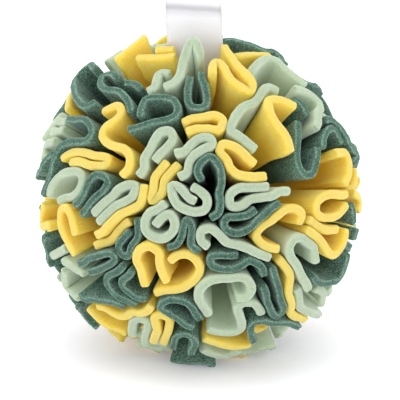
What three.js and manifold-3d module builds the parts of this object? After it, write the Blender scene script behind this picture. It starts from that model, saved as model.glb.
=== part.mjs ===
import * as THREE from 'three';
import { mergeVertices } from 'three/addons/utils/BufferGeometryUtils.js';
import Module from 'manifold-3d';

// A snuffle ball for a dog: fleece tabs in three colours, gathered at their roots into a ball,
// with a satin ribbon loop on top. Millimetres, +Z up, the front towards -Y, resting on z = 0.

// Driving dimensions
const RIM = 79; // outer edge of a tab, from the ball's centre
const CENTRE = 72; // height of the ball's centre: it rests a little flattened
const CLOTH = 3.6; // thickness of a tab at its outer edge
const CLEAR = 0.9; // least room between two tabs at the outer edge
const FOOT = 48.6; // radius above which a tab stands free
const GATHER = 48.2; // outer radius of the gathered roots
const CORE = 12; // inner radius of the gathered roots
const SEAM = 0.3; // room between two bunches of roots
const STEP = 4.6; // spacing of the points along a tab's outer edge
const FLAT = { seen: 0.9, hidden: 1.7 }; // how far a facet may stray from an outer edge's curve
const TAB_LOW = 36; // radius where a tab's solid starts, inside the roots
const ROOTED = 0.34; // least share of a tab that stands on its own bunch's roots
const MITRE = 0.8; // least cosine of half a corner: a sharper corner of a face is blunted
const TABS = 191; // tabs in the whole ball
const FREE = { turned: 3.3, filler: 4 }; // room that a tab needs to be added, before they settle
const FILLER = { least: -4, most: 3, steps: 5, slant: 1.5 }; // reach of a filling tab beyond the rim
const FLATTER = 6.5; // how much less the tabs reach on the ball's right
const JOIN = { behind: -0.3, gap: 9 }; // which tabs past the front still join a bunch of the front

// Places seen from the front round which the filling tabs reach less
const HOLLOWS = [
  { x: -27, z: -71, wide: 30, deep: 8 },
  { x: 31, z: -69, wide: 26, deep: 7 },
  { x: 54, z: 54, wide: 26, deep: 5 },
];

// The ribbon loop: width and thickness, extra room from the tabs, distance between its two legs
// at the rim and in the belly, its top from the ball's centre, and where it is seen
const RIBBON = { width: 25, thick: 1, room: 2.2, gap: 8, belly: 9, top: 101, x: -3.7, z: 72.4 };

// How the outer edges settle: rounds in all and with a pull home, how often neighbours are found
// and how near they are, the stiffness of the folds, and the size of a move
const SETTLE = { rounds: 260, homing: 200, look: 20, sight: 11.4, stiff: 0.35, home: 0.01, haste: 1.25 };

// Where tabs of two bunches come nearer than this, their facets get finer and then their cloth thinner
const REFINE = { near: 0.5, passes: 9, finer: 0.65, finest: 0.25, thinner: 0.96 };

// How the cones of roots are fitted: rounds, size of a move, and least lead over the next cone
// that its roots keep; after as many rounds as calm says, the moves are half as large
const DIVIDE = { rounds: 900, move: 0.012, lead: 0.012, calm: 300 };

// The view that the front table is laid out in: from the front, a little above
const VIEW = { tilt: 15 * Math.PI / 180, eye: 1040 };
const RIGHT = new THREE.Vector3(1, 0, 0);
const UPWARD = new THREE.Vector3(0, Math.sin(VIEW.tilt), Math.cos(VIEW.tilt));
const TOWARD = new THREE.Vector3(0, -Math.cos(VIEW.tilt), Math.sin(VIEW.tilt));

const CLOTHS = {
  yellow: new THREE.MeshStandardMaterial({ color: '#E8C84A', roughness: 0.95, metalness: 0 }),
  sage: new THREE.MeshStandardMaterial({ color: '#B9C8AE', roughness: 0.95, metalness: 0 }),
  teal: new THREE.MeshStandardMaterial({ color: '#5E7F76', roughness: 0.95, metalness: 0 }),
  ribbon: new THREE.MeshStandardMaterial({ color: '#EDEDF0', roughness: 0.35, metalness: 0 }),
};

// Tabs seen from the front, a row each: the bunch it belongs to, the start of its outer edge
// (x right and z up of the centre), its reach, and its folds as runs of [length, heading] or
// [length, heading, rise], where the rise is how far that corner stands beyond the reach.
const FRONT = [
  ['yellow_01', -64, 16, 79, [[19, -10], [6, 90], [22, 176]]],
  ['yellow_01', -48, 41, 80, [[11, 18], [7, -105], [11, -145], [6, -72], [15, -30], [11, -106]]],
  ['yellow_02', -18, 17, 78, [[20, -115], [6, -59], [24, 64]]],
  ['yellow_02', -27, 6, 79, [[10, -103], [12, -156], [15, -135]]],
  ['yellow_02', -50, -25, 77, [[22, 41]]],
  ['yellow_03', -61, -28, 80, [[12, 119], [12, 97], [5, 11], [14, -78]]],
  ['yellow_03', -76, -3, 79, [[12, -97], [5, 3]]],
  ['yellow_04', -59, 55, 79, [[9, -122], [6, -92]]],
  ['yellow_05', -42, 65, 84, [[9, 34], [10, 43, 3]]],
  ['yellow_05', -32, 66, 82, [[19, 5]]],
  ['yellow_05', -23, 69.5, 83, [[9, 2]]],
  ['yellow_06', 10, 72, 83, [[12, -58], [14, -42], [5, -139, -2], [13, 146], [11, 118], [9, -117]]],
  ['yellow_06', 15, 67, 79, [[10, 8], [7, -6]]],
  ['yellow_07', -9, 36, 80, [[10, 14], [11, -7], [7, -105], [8, 171], [9, -171]]],
  ['yellow_07', 24, 16, 80, [[14, 146], [8, 173], [7, -72], [12, -40], [14, -6]]],
  ['yellow_08', 44, 43, 82, [[15, 158], [10, -82], [10, -45], [11, -73]]],
  ['yellow_09', 37, -25, 79, [[8, 164], [8, 128], [9, 45], [12, 29], [7, -28], [6, -105]]],
  ['yellow_10', 63, 21, 80, [[6, 4], [9, -87], [8, -100]]],
  ['yellow_10', 69, 2, 80, [[9, -168], [9, -143], [8, -77], [9, 16], [9, 55]]],
  ['yellow_10', 50, -11, 79, [[7, -45], [9, 3]]],
  ['yellow_10', 49, -16, 80, [[7, -18], [12, -69], [9, 45], [8, 87]]],
  ['yellow_11', -28, -42, 80, [[12, 124], [9, 66], [8, 3], [8, -71], [10, -70]]],
  ['yellow_11', -17, -31, 79, [[8, 33], [8, -21], [7, -75], [11, -137], [14, -163]]],
  ['yellow_12', -55, -53, 79, [[11, -43], [12, -29]]],
  ['yellow_12', -50, -51, 79, [[18, -32], [14, 38]]],
  ['yellow_13', -24, -69, 79, [[7, 75], [7, 97], [8, -11], [7, -101], [7, -118]]],
  ['yellow_14', 0, -68, 79, [[12, -16], [11, 0]]],
  ['yellow_15', 37, -29, 79, [[9, -51], [11, -88], [10, -103], [8, -14]]],
  ['yellow_16', 71, 2, 77, [[5, -30], [7, -105]]],
  ['sage_01', -29, 7, 80, [[15, 75], [11, 67], [7, -12], [6, -107], [11, -128]]],
  ['sage_02', -52, -8, 79, [[13, 42], [13, 28], [8, -87], [10, -155], [12, -143]]],
  ['sage_03', -24, -10, 80, [[6, 39], [6, -13], [8, -96], [8, -149], [8, 155], [8, 99], [14, 29]]],
  ['sage_03', -3, -2, 80, [[5, 174], [10, 117], [4, -150], [10, -87], [9, -18], [9, 17], [14, 120]]],
  ['sage_04', -13, 18, 80, [[7, 12], [8, 74], [9, 0], [5, -90], [9, -171], [10, -107], [7, -155]]],
  ['sage_05', 0, -26, 80, [[8, 132], [8, 38], [17, -27], [17, -22]]],
  ['sage_06', 31, 5, 80, [[14, -178], [10, -130], [7, -37], [13, 28], [14, 15]]],
  ['sage_07', -65, 36, 78, [[10, 180], [6, -100], [10, 11]]],
  ['sage_07', -71, 27, 79, [[6, -145], [7, -94]]],
  ['sage_08', -74, 3, 79, [[10, 51], [8, 38], [6, -42], [9, -106], [10, -151]]],
  ['sage_09', -72, -28, 78, [[7, 27]]],
  ['sage_09', -67, -31, 79, [[11, -23]]],
  ['sage_09', -66, -35, 79, [[8, -90], [9, -37]]],
  ['sage_10', -26, 50, 80, [[4, 11], [9, 87], [6, -5]]],
  ['sage_10', -20, 53, 81, [[8, 14], [11, 77, 2], [12, 66, 11], [10, -66, 4]]],
  ['sage_11', 22, 59, 80, [[9, 47], [6, 5], [20, -41]]],
  ['sage_11', 44, 51, 80, [[11, -18], [8, -62], [9, -122]]],
  ['sage_12', 36, 50, 80, [[7, 145], [15, -138], [14, -139], [8, -42], [10, -30]]],
  ['sage_13', 1, -57, 80, [[10, 117], [8, 74], [12, 9], [11, 0], [9, -78], [8, -173]]],
  ['sage_13', 3, -64, 79, [[9, -12], [10, 14], [13, 120], [10, 10], [7, -58]]],
  ['sage_14', -1, -73, 79, [[12, -18], [8, 25]]],
  ['sage_15', 50, -44, 80, [[13, 117], [10, 114], [8, 43], [9, -21], [9, -96]]],
  ['sage_16', 44, -44, 79, [[9, -93], [13, -18]]],
  ['sage_16', 53, -44, 77, [[5, -13], [5, -100]]],
  ['sage_17', -34, -66, 79, [[8, 94], [9, 3], [13, -98]]],
  ['sage_18', -46, 64, 79, [[9, 36]]],
  ['teal_01', -5, 8, 80, [[8, 77], [8, 31], [7, -55], [13, -77], [9, -96], [6, -166]]],
  ['teal_02', -18, -22, 79, [[6, 5], [12, 77], [4, 12], [11, -88], [7, -53]]],
  ['teal_03', -36, -16, 78, [[10, -127], [6, -61], [5, 15], [10, 87], [8, 73]]],
  ['teal_03', -58, -33, 79, [[9, 39], [11, -2], [5, -96], [14, -169]]],
  ['teal_03', -38, -30, 79, [[15, -137], [21, -37]]],
  ['teal_03', -34, -33, 79, [[11, -123], [16, -27]]],
  ['teal_04', -58, -48, 79, [[9, -15], [11, 2]]],
  ['teal_04', -59.5, -51, 80, [[7, -75], [9, -45]]],
  ['teal_05', 25, -7, 80, [[9, -162], [8, -171], [7, -74], [10, 3], [13, 45], [9, 18]]],
  ['teal_06', -37, 54, 79, [[5, 0], [4, -50]]],
  ['teal_06', -40, 56, 80, [[7, 145], [7, -125], [5, -49], [7, 4], [12, -69]]],
  ['teal_06', -51, 61, 82, [[4, 150], [8, -147], [10, -95], [9, -49], [6, 36]]],
  ['teal_07', -65, 37, 80, [[9, 3], [10, -59], [8, -149], [9, 174], [11, -115], [17, -106]]],
  ['teal_07', -72, 21, 79, [[7, -129], [8, -117]]],
  ['teal_08', -62, -4, 79, [[10, 56], [8, 56], [7, -8], [7, -98], [17, -136]]],
  ['teal_09', -75, -16, 79, [[9, -90], [9, -72]]],
  ['teal_10', 0, -58, 80, [[11, 135], [13, 178], [5, -117], [10, -25], [9, -21]]],
  ['teal_10', -15, -72, 79, [[6, 86], [6, 13], [6, -31], [7, -102]]],
  ['teal_11', 17, -28, 79, [[8, -174], [6, 163], [7, -86], [11, -9], [10, 43], [8, -33], [5, -90]]],
  ['teal_11', 29, -42, 79, [[10, -79], [7, -63], [6, 35], [10, 106], [12, 106]]],
  ['teal_12', 24, -69, 79, [[11, 100], [12, 0], [12, -13]]],
  ['teal_13', 50, -41, 80, [[15, 0], [14, 75]]],
  ['teal_14', 70, -3, 79, [[10, -80]]],
  ['teal_14', 73, -15, 79, [[6, -100]]],
  ['teal_15', 57, 38, 80, [[8, -28], [11, -65], [7, -39], [5, -124]]],
  ['teal_15', 58, 24, 79, [[7, 90], [5, 49], [10, -58]]],
  ['teal_15', 45, 36, 79, [[12, -92], [13, -88], [7, -11], [7, 72], [7, 90]]],
  ['teal_15', 43, 47, 78, [[5, -38], [7, -62]]],
  ['teal_16', 10, 74, 79, [[5, 10], [11, -24], [12, -9], [6, -76]]],
  ['teal_17', -6, 57, 80, [[7, -101], [8, -87], [9, -3], [9, 93], [9, 93]]],
  ['teal_17', -36, 32, 80, [[11, 15], [14, 11], [8, 93], [9, 168], [8, -170], [8, -99]]],
];

// Fold patterns of the tabs that the front view doesn't show, as runs of [length, turn]
const FOLDS = [
  [[18, 0], [6, 88], [20, 86]],
  [[9, 0], [9, 62], [9, -105], [10, -70], [9, 95]],
  [[14, 0], [13, 24], [10, -40]],
  [[8, 0], [9, 75], [8, 68], [9, 60], [8, 20]],
  [[12, 0], [16, 96], [9, -30]],
  [[11, 0], [11, -28]],
  [[7, 0], [6, 70]],
];
// Colours of the bunches around the back of the ball
const BACK = ['sage', 'teal', 'yellow', 'teal', 'yellow', 'teal', 'yellow', 'sage'];
const TRIALS = { count: 2600, stride: 989, turn: 2.4 }; // places tried for the tabs that fill the gaps

const radians = (degrees) => degrees * Math.PI / 180;

// Direction from the ball's centre to the point seen at x, z on a ball of the given radius
function seenAt(x, z, radius) {
  const spread = (x * x + z * z) / VIEW.eye;
  const scale = 1 + spread / VIEW.eye;
  const inside = spread * spread - scale * (x * x + z * z - radius * radius);
  const depth = (spread + Math.sqrt(Math.max(inside, 0))) / scale;
  const near = 1 - depth / VIEW.eye;
  return new THREE.Vector3()
    .addScaledVector(RIGHT, x * near)
    .addScaledVector(UPWARD, z * near)
    .addScaledVector(TOWARD, depth)
    .normalize();
}

// A path of corners with its corners rounded off, three times over
function rounded(corners) {
  const between = (a, b, share) => a.map((value, k) => value * (1 - share) + b[k] * share);
  let path = corners;
  for (let pass = 0; pass < 3; pass++) {
    const cut = [path[0]];
    for (let i = 0; i < path.length - 1; i++) {
      if (i > 0) cut.push(between(path[i], path[i + 1], 0.25));
      if (i < path.length - 2) cut.push(between(path[i], path[i + 1], 0.75));
    }
    cut.push(path[path.length - 1]);
    path = cut;
  }
  return path;
}

// A tab's outer edge from a line of points: its course on the ball at even spacing, and the
// reach of each point
function evenly(line) {
  const rays = line.map((p) => p.clone().normalize());
  const along = [0];
  for (let i = 1; i < line.length; i++) {
    along.push(along[i - 1] + rays[i].distanceTo(rays[i - 1]) * RIM);
  }
  const length = along[along.length - 1];
  const count = Math.max(3, Math.round(length / STEP) + 1);
  const points = [];
  let at = 0;
  for (let k = 0; k < count; k++) {
    const goal = length * k / (count - 1);
    while (at < line.length - 2 && along[at + 1] < goal) at++;
    const part = (goal - along[at]) / (along[at + 1] - along[at] || 1);
    points.push(line[at].clone().lerp(line[at + 1], part));
  }
  return { edge: points.map((p) => p.clone().setLength(RIM)), reaches: points.map((p) => p.length()) };
}

// The outer edge of a tab of the front table
function frontEdge(x, z, reach, runs) {
  const corners = [[x, z, reach]];
  for (const [length, heading, rise = 0] of runs) {
    const [px, pz] = corners[corners.length - 1];
    corners.push([
      px + length * Math.cos(radians(heading)),
      pz + length * Math.sin(radians(heading)),
      reach + rise,
    ]);
  }
  return evenly(rounded(corners).map(([u, v, r]) => seenAt(u, v, r).multiplyScalar(r)));
}

// The outer edge of a tab folded by a pattern about a place on the ball. Its end is cut a little
// askew, so its reach rises or falls along it.
function foldedEdge(place, heading, runs, reach, slant) {
  const corners = [[0, 0]];
  let angle = heading;
  for (const [length, turn] of runs) {
    angle += radians(turn);
    const [px, pz] = corners[corners.length - 1];
    corners.push([px + length * Math.cos(angle), pz + length * Math.sin(angle)]);
  }
  const path = rounded(corners);
  const mid = [0, 1].map((k) => path.reduce((sum, p) => sum + p[k], 0) / path.length);
  const side = new THREE.Vector3(0, 0, 1).cross(place);
  if (side.length() < 0.2) side.set(1, 0, 0);
  side.addScaledVector(place, -side.dot(place)).normalize();
  const over = place.clone().cross(side);
  return evenly(path.map(([u, v], k) => place.clone()
    .addScaledVector(side, (u - mid[0]) / RIM)
    .addScaledVector(over, (v - mid[1]) / RIM)
    .setLength(reach + slant * (2 * k / (path.length - 1) - 1))));
}

// Whether an edge keeps a distance from every point of the edges already placed
function isFree(edge, tabs, room) {
  return tabs.every((tab) => edge.every((p) => tab.edge.every((q) => p.distanceTo(q) > room)));
}

function newTab(bunch, { edge, reaches }, fixed = false) {
  return { bunch, edge, reaches, fixed, flat: bunch ? FLAT.seen : FLAT.hidden, cloth: CLOTH };
}

// How much less a filling tab reaches at a place on the ball, to the right and round the hollows
function shorter(place) {
  let less = FLATTER * Math.sqrt(Math.max(0, place.x));
  for (const { x, z, wide, deep } of HOLLOWS) {
    const apart = seenAt(x, z, RIM).distanceTo(place) * RIM;
    less += deep * Math.max(0, 1 - (apart / wide) ** 2);
  }
  return less;
}

function spiralPoint(index, count) {
  const height = 1 - 2 * (index + 0.5) / count;
  const ring = Math.sqrt(1 - height * height);
  const angle = index * Math.PI * (3 - Math.sqrt(5));
  return new THREE.Vector3(ring * Math.cos(angle), ring * Math.sin(angle), height);
}

function meanDirection(points) {
  return points.reduce((sum, p) => sum.add(p), new THREE.Vector3()).normalize();
}

// Nearest point of the segment a-b to p, as the share of the way from a to b
function shareAlong(p, a, b) {
  const line = b.clone().sub(a);
  const share = p.clone().sub(a).dot(line) / line.lengthSq();
  return Math.min(1, Math.max(0, share));
}

// Moves the edges apart until none crowds another, keeping lengths and folds
function settle(tabs, obstacle) {
  const points = [];
  tabs.forEach((tab, owner) => tab.edge.forEach((at, index) => points.push({
    at, owner, index, last: index === tab.edge.length - 1, home: at.clone(),
    fixed: tab.fixed, shift: new THREE.Vector3(), votes: 0,
  })));
  const ties = [];
  points.forEach((p, i) => {
    for (let hop = 1; hop <= 3; hop++) {
      const other = points[i + hop];
      if (other && other.owner === p.owner) {
        ties.push({ a: p, b: other, rest: p.at.distanceTo(other.at), grip: hop === 1 ? 1 : SETTLE.stiff });
      }
    }
  });
  let contacts = [];
  for (let round = 0; round < SETTLE.rounds; round++) {
    if (round % SETTLE.look === 0) {
      contacts = [];
      points.forEach((b, j) => {
        if (b.last) return;
        const c = points[j + 1];
        for (const p of points) {
          if (p.owner === b.owner && p.index > b.index - 4 && p.index < b.index + 5) continue;
          if (p.at.distanceTo(b.at) > SETTLE.sight) continue;
          const rib = obstacle === p.owner || obstacle === b.owner;
          contacts.push({ p, b, c, room: CLOTH + CLEAR + (rib ? RIBBON.room : 0) });
        }
      });
    }
    for (const { p, b, c, room } of contacts) {
      const share = shareAlong(p.at, b.at, c.at);
      const push = p.at.clone().sub(b.at.clone().lerp(c.at, share));
      const away = push.length();
      if (away >= room || away < 1e-6) continue;
      push.multiplyScalar((room - away) / away / 2);
      p.shift.add(push);
      p.votes += 1;
      b.shift.addScaledVector(push, share - 1);
      b.votes += 1 - share;
      c.shift.addScaledVector(push, -share);
      c.votes += share;
    }
    for (const { a, b, rest, grip } of ties) {
      const pull = b.at.clone().sub(a.at);
      const length = pull.length();
      pull.multiplyScalar(0.5 * grip * (length - rest) / length);
      a.shift.add(pull);
      b.shift.sub(pull);
      a.votes += grip;
      b.votes += grip;
    }
    for (const p of points) {
      if (!p.fixed) {
        p.at.addScaledVector(p.shift, SETTLE.haste / Math.max(1, p.votes));
        p.at.lerp(p.home, round < SETTLE.homing ? SETTLE.home : 0).setLength(RIM);
      }
      p.shift.set(0, 0, 0);
      p.votes = 0;
    }
  }
}

// Distance from p to the flat fan of rays that leave the ball's centre between a and b
function toFan(p, a, b) {
  const normal = a.clone().cross(b).normalize();
  const foot = p.clone().addScaledVector(normal, -p.dot(normal));
  const inside = a.clone().cross(foot).dot(normal) > 0 && foot.clone().cross(b).dot(normal) > 0;
  if (inside) return p.distanceTo(foot);
  return Math.min(...[a, b].map((ray) => p.distanceTo(p.clone().projectOnVector(ray))));
}

// Least distance between two edges; points of the ball's far side count as far
function distanceBetween(one, two) {
  let least = Infinity;
  for (const [from, to] of [[one, two], [two, one]]) {
    for (const p of from) {
      for (let j = 0; j < to.length - 1; j++) {
        if (p.distanceTo(to[j]) > RIM / 2) continue;
        least = Math.min(least, toFan(p, to[j], to[j + 1]));
      }
    }
  }
  return least;
}

// All tabs: those seen from the front, the same turned to the back, and fillers between them
function layOut() {
  const loop = seenAt(RIBBON.x, RIBBON.z, RIM);
  const across = (x) => loop.clone().addScaledVector(RIGHT, x / RIM).normalize();
  const ribbon = newTab('ribbon', evenly([-RIBBON.width / 2, RIBBON.width / 2].map(across)), true);
  const foot = new THREE.Vector3(0, 0, -1);
  const underneath = newTab(null, foldedEdge(foot, 0, [[14, 0], [14, 0]], RIM, 0), true);
  const tabs = [ribbon, underneath];
  for (const [bunch, ...row] of FRONT) tabs.push(newTab(bunch, frontEdge(...row)));
  for (const [, ...row] of FRONT) {
    const { edge, reaches } = frontEdge(...row);
    const turned = edge.map((p) => new THREE.Vector3(p.x, -p.y, -p.z));
    const less = shorter(meanDirection(turned));
    if (!isFree(turned, tabs, FREE.turned)) continue;
    tabs.push(newTab(null, { edge: turned, reaches: reaches.map((reach) => reach - less) }));
  }
  for (let trial = 0; trial < TRIALS.count && tabs.length <= TABS; trial++) {
    const place = spiralPoint((trial * TRIALS.stride) % TRIALS.count, TRIALS.count);
    const runs = FOLDS[Math.floor(trial * FOLDS.length / TRIALS.count)];
    const share = (trial * 2 % FILLER.steps) / (FILLER.steps - 1);
    const reach = RIM + FILLER.least + (FILLER.most - FILLER.least) * share - shorter(place);
    const slant = trial % 2 ? FILLER.slant : -FILLER.slant;
    const made = foldedEdge(place, trial * TRIALS.turn, runs, reach, slant);
    if (isFree(made.edge, tabs, FREE.filler)) tabs.push(newTab(null, made));
  }
  settle(tabs, 0);
  return tabs;
}

// Gives every tab without a bunch to the nearest one, or to a bunch of the back
function shareOut(tabs) {
  const bunches = new Map();
  for (const tab of tabs) {
    tab.middle = meanDirection(tab.edge);
    if (!tab.bunch) continue;
    if (!bunches.has(tab.bunch)) bunches.set(tab.bunch, []);
    bunches.get(tab.bunch).push(tab);
  }
  bunches.delete('ribbon');
  const centres = BACK.map((colour, k) => {
    const spot = spiralPoint(k + 0.5, BACK.length * 2 + 2);
    const at = new THREE.Vector3()
      .addScaledVector(RIGHT, spot.x)
      .addScaledVector(UPWARD, spot.y)
      .addScaledVector(TOWARD, -spot.z);
    return { name: `${colour}_back_${k + 1}`, at };
  });
  const front = tabs.filter((tab) => tab.bunch && tab.bunch !== 'ribbon');
  for (const tab of tabs) {
    if (tab.bunch) continue;
    const [nearest] = centres.slice().sort((a, b) => (
      a.at.distanceToSquared(tab.middle) - b.at.distanceToSquared(tab.middle)));
    const near = front.map((other) => ({
      other,
      gap: Math.min(distanceBetween(tab.edge, other.edge), RIM * tab.middle.distanceTo(other.middle)),
    })).sort((a, b) => a.gap - b.gap)[0];
    const facing = tab.middle.dot(TOWARD);
    const joins = facing > 0 || (facing > JOIN.behind && near.gap < JOIN.gap);
    tab.bunch = joins ? near.other.bunch : nearest.name;
    if (!bunches.has(tab.bunch)) bunches.set(tab.bunch, []);
    bunches.get(tab.bunch).push(tab);
  }
  return bunches;
}

const wasm = await Module();
wasm.setup();

function solidOf(geometry) {
  geometry.deleteAttribute('normal');
  geometry.deleteAttribute('uv');
  const merged = mergeVertices(geometry, 1e-4);
  return new wasm.Manifold(new wasm.Mesh({
    numProp: 3,
    vertProperties: merged.attributes.position.array,
    triVerts: new Uint32Array(merged.index.array),
  }));
}

function geometryOf(solid) {
  const mesh = solid.getMesh();
  const geometry = new THREE.BufferGeometry();
  geometry.setAttribute('position', new THREE.BufferAttribute(new Float32Array(mesh.vertProperties), 3));
  geometry.setIndex(new THREE.BufferAttribute(new Uint32Array(mesh.triVerts), 1));
  return geometry.toNonIndexed();
}

// A closed solid from rings of four points, each ring joined to the next
function ringSolid(rings) {
  const positions = rings.flat().flatMap((p) => [p.x, p.y, p.z]);
  const index = [];
  const quad = (a, b, c, d) => index.push(a, b, c, a, c, d);
  quad(0, 1, 2, 3);
  for (let k = 0; k < rings.length - 1; k++) {
    for (let side = 0; side < 4; side++) {
      const [a, b] = [4 * k + side, 4 * k + (side + 1) % 4];
      quad(a, a + 4, b + 4, b);
    }
  }
  const end = 4 * (rings.length - 1);
  quad(end, end + 3, end + 2, end + 1);
  const geometry = new THREE.BufferGeometry();
  geometry.setAttribute('position', new THREE.BufferAttribute(new Float32Array(positions), 3));
  geometry.setIndex(index);
  const solid = solidOf(geometry);
  if (solid.volume() > 0) return solid;
  geometry.setIndex(index.reverse());
  return solidOf(geometry);
}

// Which points of an edge its facets need as corners
function corners(edge, flat) {
  const keep = new Set([0, edge.length - 1]);
  const look = (from, to) => {
    let [worst, at] = [flat, -1];
    for (let i = from + 1; i < to; i++) {
      const off = toFan(edge[i], edge[from], edge[to]);
      if (off > worst) [worst, at] = [off, i];
    }
    if (at < 0) return;
    keep.add(at);
    look(from, at);
    look(at, to);
  };
  look(0, edge.length - 1);
  return [...keep].sort((a, b) => a - b);
}

// Directions along both faces of a tab, mitred at its corners, and the reach there
function faces(tab) {
  const kept = corners(tab.edge, tab.flat);
  const line = kept.map((at) => tab.edge[at].clone().normalize());
  return line.map((p, k) => {
    const before = line[Math.max(k - 1, 0)];
    const after = line[Math.min(k + 1, line.length - 1)];
    const into = p.clone().sub(before).normalize();
    const out = after.clone().sub(p).normalize();
    if (k === 0) into.copy(out);
    if (k === line.length - 1) out.copy(into);
    const along = into.clone().add(out).normalize();
    const half = tab.cloth / 2 / RIM / Math.max(MITRE, along.dot(into));
    const side = along.cross(p).normalize().multiplyScalar(half);
    const [left, right] = [p.clone().add(side), p.clone().sub(side)].map((d) => d.normalize());
    return { left, right, reach: tab.reaches[kept[k]] };
  });
}

// The outline of a tab's outer edge, once around both faces
function outline(tab) {
  const sides = faces(tab);
  const around = [...sides.map(({ left }) => left), ...sides.map(({ right }) => right).reverse()];
  return [...around, around[0]].map((p) => p.clone().multiplyScalar(RIM));
}

// Where tabs of two bunches come near each other: finer facets, and then thinner cloth
function refine(tabs) {
  for (let pass = 0; pass < REFINE.passes; pass++) {
    const outlines = tabs.map(outline);
    tabs.forEach((tab, i) => tabs.slice(0, i).forEach((other, j) => {
      if (tab.bunch === other.bunch || tab.middle.distanceTo(other.middle) > 1) return;
      if (distanceBetween(outlines[i], outlines[j]) > REFINE.near) return;
      for (const one of [tab, other]) {
        if (one.flat > REFINE.finest) one.flat *= REFINE.finer;
        else one.cloth *= REFINE.thinner;
      }
    }));
  }
}

// A tab from inside the roots to its reach; its outer edge stops level on the floor
function tabSolid(sides) {
  const outer = (d, reach) => Math.min(reach, CENTRE / Math.max(1e-6, -d.z));
  return ringSolid(sides.map(({ left, right, reach }) => [
    left.clone().multiplyScalar(TAB_LOW),
    left.clone().multiplyScalar(outer(left, reach)),
    right.clone().multiplyScalar(outer(right, reach)),
    right.clone().multiplyScalar(TAB_LOW),
  ]));
}

// The half of space on one side of a plane, as a block that takes in the whole ball
function halfSpace(normal, offset) {
  const [wide, deep] = [4 * RIM, 2 * RIM];
  const block = new THREE.BoxGeometry(wide, wide, deep).translate(0, 0, deep / 2 + offset);
  const turn = new THREE.Quaternion().setFromUnitVectors(new THREE.Vector3(0, 0, 1), normal);
  return solidOf(block.applyQuaternion(turn));
}

// Divides the ball into one cone for each bunch, with room for the roots of each of its tabs:
// a direction belongs to the cone whose lean has the largest dot product with it
function divide(bunches) {
  const cones = [...bunches].map(([name, own]) => {
    const at = meanDirection(own.map((tab) => tab.middle));
    const roots = own.map((tab) => tab.edge.map((p) => p.clone().normalize())
      .sort((p, q) => p.angleTo(at) - q.angleTo(at))
      .slice(0, Math.ceil(tab.edge.length * ROOTED)));
    return { name, at, lean: at.clone(), roots: roots.flat() };
  });
  for (let round = 0; round < DIVIDE.rounds; round++) {
    const step = DIVIDE.move / (1 + round / DIVIDE.calm);
    for (const cone of cones) {
      for (const root of cone.roots) {
        let [rival, most] = [null, -Infinity];
        for (const other of cones) {
          if (other !== cone && other.lean.dot(root) > most) [rival, most] = [other, other.lean.dot(root)];
        }
        if (cone.lean.dot(root) - most > DIVIDE.lead) continue;
        cone.lean.addScaledVector(root, step);
        rival.lean.addScaledVector(root, -step);
      }
    }
  }
  return cones;
}

// One bunch's part of the gathered roots: a block outside the core, cut along the planes between
// its cone and the others that are not on the far side
function solidCone(cone, cones) {
  const [wide, deep] = [2 * RIM, GATHER + 2];
  const start = new THREE.BoxGeometry(wide, wide, deep).translate(0, 0, CORE + deep / 2);
  const turn = new THREE.Quaternion().setFromUnitVectors(new THREE.Vector3(0, 0, 1), cone.at);
  let solid = solidOf(start.applyQuaternion(turn));
  for (const other of cones) {
    if (other === cone || other.at.distanceTo(cone.at) > Math.SQRT2) continue;
    const normal = cone.lean.clone().sub(other.lean).normalize();
    solid = solid.intersect(halfSpace(normal, SEAM / 2));
  }
  return solid;
}

// One bunch: its gathered roots and the tabs that stand on them
function bunchSolid(name, own, cones) {
  const cone = solidCone(cones.find((one) => one.name === name), cones);
  let whole = cone.intersect(solidOf(new THREE.IcosahedronGeometry(GATHER, 0)));
  for (const tab of own) {
    const free = cone.add(halfSpace(tab.middle, FOOT));
    whole = whole.add(tabSolid(faces(tab)).intersect(free));
  }
  return whole;
}

// The ribbon loop: a band that widens out of the roots, goes up, bends over and comes back
function ribbonSolid(place) {
  const radius = RIBBON.belly / 2;
  const bend = RIBBON.top - RIBBON.thick / 2 - radius;
  const [start, widest] = [FOOT + 2 * SEAM, bend - 2 * radius + RIBBON.thick];
  const leg = [[start, RIBBON.gap / 2 * FOOT / RIM], [RIM, RIBBON.gap / 2], [widest, radius]];
  const arc = [0, 30, 60, 90, 120, 150, 180].map(radians)
    .map((a) => [bend + radius * Math.sin(a), radius * Math.cos(a)]);
  const path = [...leg, ...arc, ...leg.slice().reverse().map(([r, y]) => [r, -y])];
  const thickness = new THREE.Vector3().crossVectors(place, RIGHT).normalize();
  const width = new THREE.Vector3().crossVectors(thickness, place).normalize();
  return ringSolid(path.map(([r, y], k) => {
    const [r0, y0] = path[Math.max(k - 1, 0)];
    const [r1, y1] = path[Math.min(k + 1, path.length - 1)];
    const length = Math.hypot(r1 - r0, y1 - y0);
    const half = RIBBON.width / 2 * Math.min(1, r / RIM);
    const corner = (side, face) => new THREE.Vector3()
      .addScaledVector(place, r + face * RIBBON.thick / 2 * (y1 - y0) / length)
      .addScaledVector(thickness, y - face * RIBBON.thick / 2 * (r1 - r0) / length)
      .addScaledVector(width, side * half);
    return [corner(-1, -1), corner(-1, 1), corner(1, 1), corner(1, -1)];
  }));
}

const ball = new THREE.Group();
ball.name = 'snuffle_ball';

function addPiece(name, solid, material) {
  const mesh = new THREE.Mesh(geometryOf(solid), material);
  mesh.name = name;
  mesh.position.set(0, 0, CENTRE);
  ball.add(mesh);
}

const tabs = layOut();
const bunches = shareOut(tabs);
const cones = divide(bunches);
refine(tabs);
for (const [name, own] of bunches) {
  addPiece(name, bunchSolid(name, own, cones), CLOTHS[name.split('_')[0]]);
}
addPiece('ribbon_loop', ribbonSolid(seenAt(RIBBON.x, RIBBON.z, RIM)), CLOTHS.ribbon);

export default ball;
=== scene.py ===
# Snuffle ball for a dog: fleece tabs in three colours, gathered at their roots into a ball,
# with a plain satin ribbon loop on top. Working units are millimetres from the ball's centre.
import math

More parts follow.
